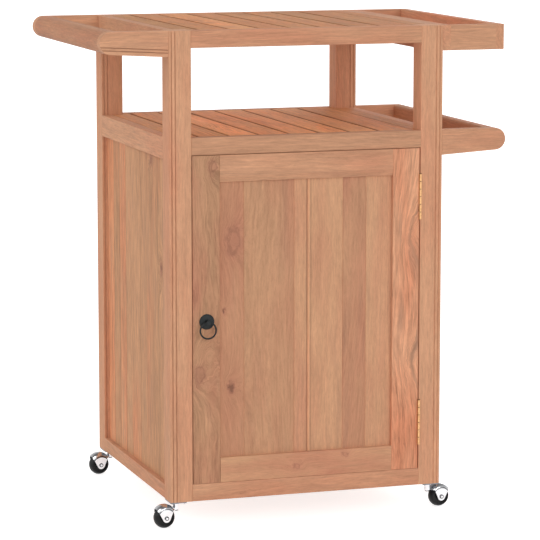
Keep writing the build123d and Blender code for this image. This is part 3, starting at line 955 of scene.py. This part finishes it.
@dataclass
class Door:
    """Frame-and-panel door with a boarded panel. The red stile's knots lie beyond its edge."""

    panel_seams: tuple[float, ...] = (-0.1143, -0.0223, 0.0037, 0.0677, 0.1107)
    panel_boards: tuple[Board, ...] = (
        Board(0.89, 0.45, 0.35, 0.12), Board(0.88, 0.25, 0.3, 0.08), Board(0.99, 0.2, 0.25, 0.01),
        Board(0.97, 0.15, 0.2, 0.02), Board(0.88, 0.5, 0.35, 0.16), Board(1.0, 0.1, 0.2, 0.03),
    )
    # Painted shade at both edges of the bold groove and a painted highlight between them.
    bold_groove: Stops = ((0.0010, 0.36), (0.0052, -0.3), (0.0086, 0.22))
    panel_knots: tuple[Knot, ...] = (
        Knot(0.502, -0.133, 0.0075, 0.013, 0.045), Knot(0.244, -0.138, 0.0035, 0.011, 0.04, 1.0),
        Knot(0.379, -0.15, 0.0016, 0.005, 0.012, 1.0),
    )
    stile_knots: tuple[Knot, ...] = (
        Knot(0.270, -0.196, 0.005, 0.014, 0.05), Knot(0.304, -0.18, 0.0001, 0.016, 0.04),
        Knot(0.632, -0.172, 0.004, 0.014, 0.035),
    )
    red_knots: tuple[Knot, ...] = (
        Knot(0.27, 0.205, 0.0001, 0.02, 0.03), Knot(0.50, 0.208, 0.0001, 0.02, 0.03),
    )
    rail_knots: tuple[Knot, ...] = (
        Knot(-0.02, 0.096, 0.0022, 0.008, 0.02), Knot(0.07, 0.112, 0.002, 0.008, 0.02),
    )

    def dress(self) -> None:
        """Give frame and panel their grain and knots."""
        dress_wood(
            "door_stile_left", Axis.Z, PANEL_TONE, Board(0.8, 0.25, 0.5, 0.1), seed=201.0,
            wave=0.02, lines=0.5, knots=self.stile_knots,
        )
        # The right stile's faces square to the crossing axis, its recess wall, get a little
        # painted shade.
        dress_wood(
            "door_stile_right", Axis.Z, RED_TONE, Board(1.0, 0.32, 0.6, 0.12), seed=209.0,
            ring_pitch=0.013, wave=0.011, streaks=0.9, lines=0.65, edge_shade=0.04,
            knots=self.red_knots,
        )
        dress_wood(
            "door_rail_top", Axis.X, FRAME_TONE, Board(0.94, 0.15, 0.3, 0.04), seed=215.0,
            across=Axis.Z, lines=0.3,
        )
        dress_wood(
            "door_rail_bottom", Axis.X, PANEL_TONE, Board(0.96, 0.2, 0.22, 0.08), seed=221.0,
            across=Axis.Z, wave=0.012, lines=0.15, knots=self.rail_knots,
        )
        # A negative seam shade paints light along the panel's seams, paling their shading.
        dress_wood(
            "door_panel", Axis.Z, PANEL_TONE, *self.panel_boards, seed=233.0,
            seams=self.panel_seams, seam_shade=-0.05, lines=0.25, patches=2.2,
            grooves=self.bold_groove, knots=self.panel_knots,
        )


@dataclass
class Hardware:
    """Brass hinges, black ring pull and the magnetic catch."""

    ring_wire: float = 0.0015
    wire_sides: int = 20
    ring_steps: int = 72

    def dress(self) -> None:
        """Dress the carried-over metal and put a smooth ring in place of the faceted one."""
        brass = BRASS.build()
        for part in ("frame_leaves", "door_leaves", "frame_screws", "door_screws"):
            dress(f"hinge_{part}", brass)
        dress("hinge_pins", DARK_BRASS.build())
        iron = BLACK_IRON.build()
        dress("pull_rose", iron)
        self.make_ring(iron)
        dress("catch_body", CATCH_BROWN.build())
        dress("catch_strike", ZINC.build())

    def make_ring(self, iron: Material) -> None:
        """Bend a round wire into the ring.

        Args:
            iron: Finish of the ring.
        """
        low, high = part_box("pull_ring")
        centre = (low + high) / 2
        radius = (high.z - low.z) / 2 - self.ring_wire
        mesh = bmesh.new()
        bmesh.ops.create_circle(
            mesh, radius=self.ring_wire, segments=self.wire_sides,
            matrix=Matrix.Translation(centre + Vector((radius, 0, 0))),
        )
        section = mesh.verts[:] + mesh.edges[:]
        sweep(mesh, section, centre, Vector((0, 1, 0)), math.tau, self.ring_steps)
        bmesh.ops.recalc_face_normals(mesh, faces=mesh.faces[:])
        ring = as_piece("ring_smooth", mesh, iron, "pull_ring")
        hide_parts("pull_ring")


@dataclass
class Caster:
    """Hooded swivel caster under one leg: smooth wheel and pressed hood, in metres.

    Heights are over the axle. The band between two radii round each cheek, where the hood turns,
    and the bosses get a painted dark reflection in darker steel.
    """

    corner: str
    turn_degrees: float = 8.0
    trail: float = 0.023
    wheel_radius: float = 0.019
    tread_half_width: float = 0.0095
    tread_edge_radius: float = 0.0155
    rim_radius: float = 0.013
    web_half_width: float = 0.0075
    hub_radius: float = 0.005
    hub_half_width: float = 0.0107
    bore_radius: float = 0.00225
    hood_radius: float = 0.0235
    hood_half_width: float = 0.0125
    hood_corner: float = 0.0102
    hood_wall: float = 0.0015
    tip_radius: float = 0.0074
    tip_cuts: int = 9
    trail_lean: float = 28.0
    stem_lean: float = 23.0
    rim_rise: float = 0.0118
    # Radii of the band round each cheek that carries a painted dark reflection.
    crease: tuple[float, float] = (0.0153, 0.0172)
    socket_radius: float = 0.0055
    pin_radius: float = 0.0031
    socket_top: float = 0.0227
    socket_break: float = 0.0004
    boss_radius: float = 0.0038
    boss_height: float = 0.0016
    boss_break: float = 0.0005
    axle_radius: float = 0.0022
    axle_stand: float = 0.0009
    axle_break: float = 0.0006
    steel_slot: int = 1

    def axle_centre(self) -> Vector:
        """Middle of the wheel."""
        low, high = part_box(f"caster_wheel_{self.corner}")
        return (low + high) / 2

    def heading(self) -> float:
        """Direction, in radians, in which the wheel trails the king pin."""
        about = 180.0 if self.corner.endswith("left") else 0.0
        return math.radians(self.turn_degrees + about)

    def axle_direction(self) -> Vector:
        """Direction of the axle, across the trolley."""
        return Vector((-math.sin(self.heading()), math.cos(self.heading()), 0.0))

    def local(self) -> Matrix:
        """Turn from a caster drawn at the origin, trailing toward +X, to its place."""
        return Matrix.Translation(self.axle_centre()) @ Matrix.Rotation(self.heading(), 4, "Z")

    def make_wheel(self, rubber: Material) -> None:
        """Turn the ball-shaped wheel.

        Args:
            rubber: Finish of the wheel.
        """
        half = self.tread_half_width
        rise = self.wheel_radius - self.tread_edge_radius
        round_radius = (half**2 + rise**2) / (2 * rise)
        swing = 2 * math.degrees(math.asin(half / round_radius))
        face = (
            (self.bore_radius, self.hub_half_width), (self.hub_radius, self.hub_half_width),
            (self.hub_radius, self.web_half_width), (self.rim_radius, self.web_half_width),
            (self.rim_radius, half),
        )
        shape = Turning(self.axle_centre(), self.axle_direction(), 72)
        shape.through(*((radius, -height) for radius, height in face))
        shape.through((self.tread_edge_radius, -half))
        shape.arc(self.wheel_radius - round_radius, 0.0, -swing, 20)
        shape.through(*reversed(face), (self.bore_radius, -self.hub_half_width))
        wheel = as_piece(
            f"wheel_smooth_{self.corner}", shape.spin(), rubber, f"wheel_{self.corner}",
            50.0,
        )
        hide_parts(f"caster_wheel_{self.corner}")

    def trim(
        self, mesh: Mesh, degrees: float, faces: list[bmesh.types.BMFace]
    ) -> None:
        """Cut faces with a plane that touches the cheeks' round tip.

        Args:
            mesh: Mesh of the hood's shell, drawn at the origin.
            degrees: Direction of the plane's normal in the side view, from +X up.
            faces: Faces that the cut may reach.
        """
        angle = math.radians(degrees)
        normal = Vector((math.cos(angle), 0.0, math.sin(angle)))
        reach = set(faces)
        for face in faces:
            reach.update(face.verts)
            reach.update(face.edges)
        bmesh.ops.bisect_plane(
            mesh, geom=list(reach), dist=CUT_DISTANCE, plane_co=normal * self.tip_radius,
            plane_no=normal, clear_outer=True,
        )

    def shell(self) -> Mesh:
        """Shape the pressed shell: a drum with round rims, trimmed to a crown and two cheeks.

        Returns:
            The shell without thickness, the band round each cheek marked for the darker steel of
            the painted dark reflection.
        """
        half = self.hood_half_width
        flat = self.hood_radius - self.hood_corner
        straight = half - self.hood_corner
        drum = Turning(Vector(), Vector((0, 1, 0)), 96)
        drum.through((0.0, -half), (flat * 0.5, -half), (flat, -half))
        drum.arc(flat, -straight, -90, 8).through((self.hood_radius, straight))
        drum.arc(flat, straight, -90, 8).through((flat * 0.5, half), (0.0, half))
        mesh = drum.spin()
        bmesh.ops.bisect_plane(
            mesh, geom=mesh.verts[:] + mesh.edges[:] + mesh.faces[:], dist=CUT_DISTANCE,
            plane_co=(0, 0, self.rim_rise), plane_no=(0, 0, 1),
        )
        self.trim(mesh, -self.trail_lean, mesh.faces[:])
        last = -180.0 + self.stem_lean
        for cut in range(1, self.tip_cuts + 1):
            degrees = -self.trail_lean + (last + self.trail_lean) * cut / self.tip_cuts
            low = [face for face in mesh.faces if face.calc_center_median().z < self.rim_rise]
            self.trim(mesh, degrees, low)
        bmesh.ops.remove_doubles(mesh, verts=mesh.verts[:], dist=MERGE_DISTANCE)
        bmesh.ops.recalc_face_normals(mesh, faces=mesh.faces[:])
        # Faces in the band round each cheek get the darker steel: a painted dark reflection.
        inner, outer = self.crease
        for face in mesh.faces:
            spot = face.calc_center_median()
            if inner < math.hypot(spot.x, spot.z) < outer:
                face.material_index = self.steel_slot
        return mesh

    def socket(self) -> Mesh:
        """Turn the socket of the king pin.

        Returns:
            The closed mesh.
        """
        bore, radius, edge = self.pin_radius, self.socket_radius, self.socket_break
        foot, top = self.rim_rise, self.socket_top
        return Turning(Vector((-self.trail, 0, 0)), Vector((0, 0, 1)), 40).through(
            (bore, foot), (radius - edge, foot), (radius, foot + edge), (radius, top - edge),
            (radius - edge, top), (bore, top), (bore, foot),
        ).spin()

    def axle(self) -> Mesh:
        """Turn the axle, which stands out of the bosses.

        Returns:
            The closed mesh.
        """
        end = self.hood_half_width + self.boss_height + self.axle_stand
        radius, edge = self.axle_radius, self.axle_break
        return Turning(Vector(), Vector((0, 1, 0)), 32).through(
            (0.0, -end), (radius - edge, -end), (radius, edge - end), (radius, end - edge),
            (radius - edge, end), (0.0, end),
        ).spin()

    def boss(self, side: int) -> Mesh:
        """Turn the boss of a cheek.

        Args:
            side: -1 for the cheek in front, 1 for the one behind.

        Returns:
            The boss, marked for the darker steel of the painted dark reflection.
        """
        bore, radius, edge = self.axle_radius, self.boss_radius, self.boss_break
        foot, top = -self.hood_wall, self.boss_height
        centre = Vector((0, side * self.hood_half_width, 0))
        ring = Turning(centre, Vector((0, side, 0)), 32).through(
            (bore, foot), (radius, foot), (radius, top - edge), (radius - edge, top),
            (bore, top), (bore, foot),
        ).spin()
        # The whole boss gets the darker steel: a painted dark reflection.
        for face in ring.faces:
            face.material_index = self.steel_slot
        return ring

    def make_hood(self, chrome: Material, steel: Material) -> None:
        """Press the hood and add its socket, bosses and axle.

        Args:
            chrome: Finish of the hood.
            steel: Darker finish of the band round each cheek and of the bosses, a painted dark
                reflection.
        """
        shell = self.shell()
        bmesh.ops.solidify(shell, geom=shell.faces[:], thickness=self.hood_wall)
        bmesh.ops.recalc_face_normals(shell, faces=shell.faces[:])
        whole = bmesh.new()
        for piece in (shell, self.socket(), self.axle(), self.boss(-1), self.boss(1)):
            carrier = bpy.data.meshes.new("carrier")
            piece.to_mesh(carrier)
            piece.free()
            whole.from_mesh(carrier)
            bpy.data.meshes.remove(carrier)
        bmesh.ops.transform(whole, matrix=self.local(), verts=whole.verts[:])
        hood = as_piece(
            f"hood_smooth_{self.corner}", whole, chrome, f"caster_{self.corner}", 40.0
        )
        hood.data.materials.append(steel)
        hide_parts(f"caster_hood_{self.corner}")


@dataclass
class Studio:
    """White floor and surroundings, soft sun lamps and the camera.

    Light from around falls off from the horizon to the zenith, and gloss sees its own falloff.
    """

    camera_place: Point = (-1.5676, -4.79587, 1.17808)
    yaw_degrees: float = 18.197
    pitch_degrees: float = -8.648
    focal_pixels: float = 2797.5
    frame_pixels: float = 540.0
    sensor_width: float = 36.0
    sight: float = 200.0
    ambient: float = 0.66
    zenith: float = 0.35
    gloss_zenith: float = 0.15
    suns: tuple[tuple[str, Point, float, bool], ...] = (
        ("front", (0.3, -0.87, 0.35), 0.77, True),
        ("side", (-0.88, 0.08, 0.45), 0.63, True),
        ("fill", (-0.4, -0.6, 0.7), 0.8, False),
        ("rim", (0.6, 0.7, 0.3), 0.8, True),
    )
    softness_degrees: float = 35.0
    floor_half_width: float = 60.0
    floor_grey: float = 0.85
    floor_roughness: float = 0.9
    floor_glow: float = 0.6

    def hang_lamps(self) -> None:
        """Hang the soft sun lamps."""
        for name, toward, strength, shadow in self.suns:
            lamp = bpy.data.lights.new(name, "SUN")
            lamp.energy = strength
            lamp.angle = math.radians(self.softness_degrees)
            lamp.use_shadow = shadow
            holder = bpy.data.objects.new(name, lamp)
            holder.rotation_euler = Vector(toward).to_track_quat("Z", "Y").to_euler()
            bpy.context.scene.collection.objects.link(holder)

    def surround(self) -> None:
        """Light from all around: white to the camera, and to gloss darker toward the zenith."""
        world = bpy.data.worlds.new("studio")
        world.use_nodes = True
        graph = Graph.of_tree(world.node_tree)
        toward = graph.node("TexCoord").outputs["Generated"]
        rise = graph.node("SeparateXYZ", {0: toward}).outputs[Axis.Z.value]
        steep = graph.math("MULTIPLY", rise, rise)
        falloff = (self.zenith - 1.0) * self.ambient
        level = graph.math("MULTIPLY_ADD", steep, falloff, self.ambient)
        path = graph.node("LightPath").outputs
        gloss = graph.math("MULTIPLY_ADD", rise, self.gloss_zenith - 1.0, 1.0)
        seen = graph.math("MAXIMUM", path["Is Camera Ray"], path["Is Transmission Ray"])
        for ray, shown in ((path["Is Glossy Ray"], gloss), (seen, 1.0)):
            level = graph.math("MULTIPLY_ADD", graph.math("SUBTRACT", shown, level), ray, level)
        light = graph.node("Background", {"Color": WHITE, "Strength": level})
        graph.node("OutputWorld", {"Surface": light.outputs[0]})
        bpy.context.scene.world = world

    def lay_floor(self) -> None:
        """Lay a white floor that keeps the trolley's shadow."""
        mesh = bmesh.new()
        bmesh.ops.create_grid(mesh, x_segments=1, y_segments=1, size=self.floor_half_width)
        data = bpy.data.meshes.new("floor")
        mesh.to_mesh(data)
        mesh.free()
        floor = bpy.data.objects.new("floor", data)
        bpy.context.scene.collection.objects.link(floor)
        graph = Graph("floor_white")
        path = graph.node("LightPath").outputs
        seen = graph.math("MAXIMUM", path["Is Camera Ray"], path["Is Glossy Ray"])
        seen = graph.math("MAXIMUM", seen, path["Is Transmission Ray"])
        data.materials.append(graph.finish({
            "Base Color": (self.floor_grey,) * 3, "Roughness": self.floor_roughness,
            "Emission Color": WHITE,
            "Emission Strength": graph.math("MULTIPLY", seen, self.floor_glow),
        }))

    def place_camera(self) -> None:
        """Stand the camera where the photograph was taken from."""
        data = bpy.data.cameras.new("camera")
        data.sensor_width = self.sensor_width
        data.lens = self.focal_pixels / self.frame_pixels * data.sensor_width
        data.clip_end = self.sight
        camera = bpy.data.objects.new("camera", data)
        yaw = math.radians(self.yaw_degrees)
        pitch = math.radians(self.pitch_degrees)
        forward = Vector((
            math.sin(yaw) * math.cos(pitch), math.cos(yaw) * math.cos(pitch), math.sin(pitch)
        ))
        camera.rotation_euler = forward.to_track_quat("-Z", "Y").to_euler()
        camera.location = self.camera_place
        bpy.context.scene.collection.objects.link(camera)
        bpy.context.scene.camera = camera


def main() -> None:
    """Dress the trolley, replace its faceted metal, and set the studio."""
    logging.basicConfig(level=logging.INFO, format="%(message)s")
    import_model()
    bpy.context.scene.view_settings.view_transform = "Standard"
    Legs().dress()
    Deck("top", 21.0, SLAT_TONE, TOP_BOARDS).dress()
    Deck("shelf", 47.0, SHELF_TONE, SHELF_BOARDS, 0.86, 0.99).dress()
    Arms("handle", "handle_bar", 71.0).dress()
    Arms("shelf", "shelf_bar", 83.0, 0.93, 0.87).dress()
    SideFrame().dress()
    Cabinet().dress()
    Door().dress()
    Hardware().dress()
    chrome = CHROME.build()
    steel = DULL_STEEL.build()
    rubber = WHEEL_BLACK.build()
    zinc = ZINC.build()
    dress("caster_plates", zinc)
    dress("caster_screws", zinc)
    for corner in CORNERS:
        caster = Caster(corner)
        caster.make_wheel(rubber)
        caster.make_hood(chrome, steel)
    studio = Studio()
    studio.hang_lamps()
    studio.surround()
    studio.lay_floor()
    studio.place_camera()


if __name__ == "__main__":
    main()
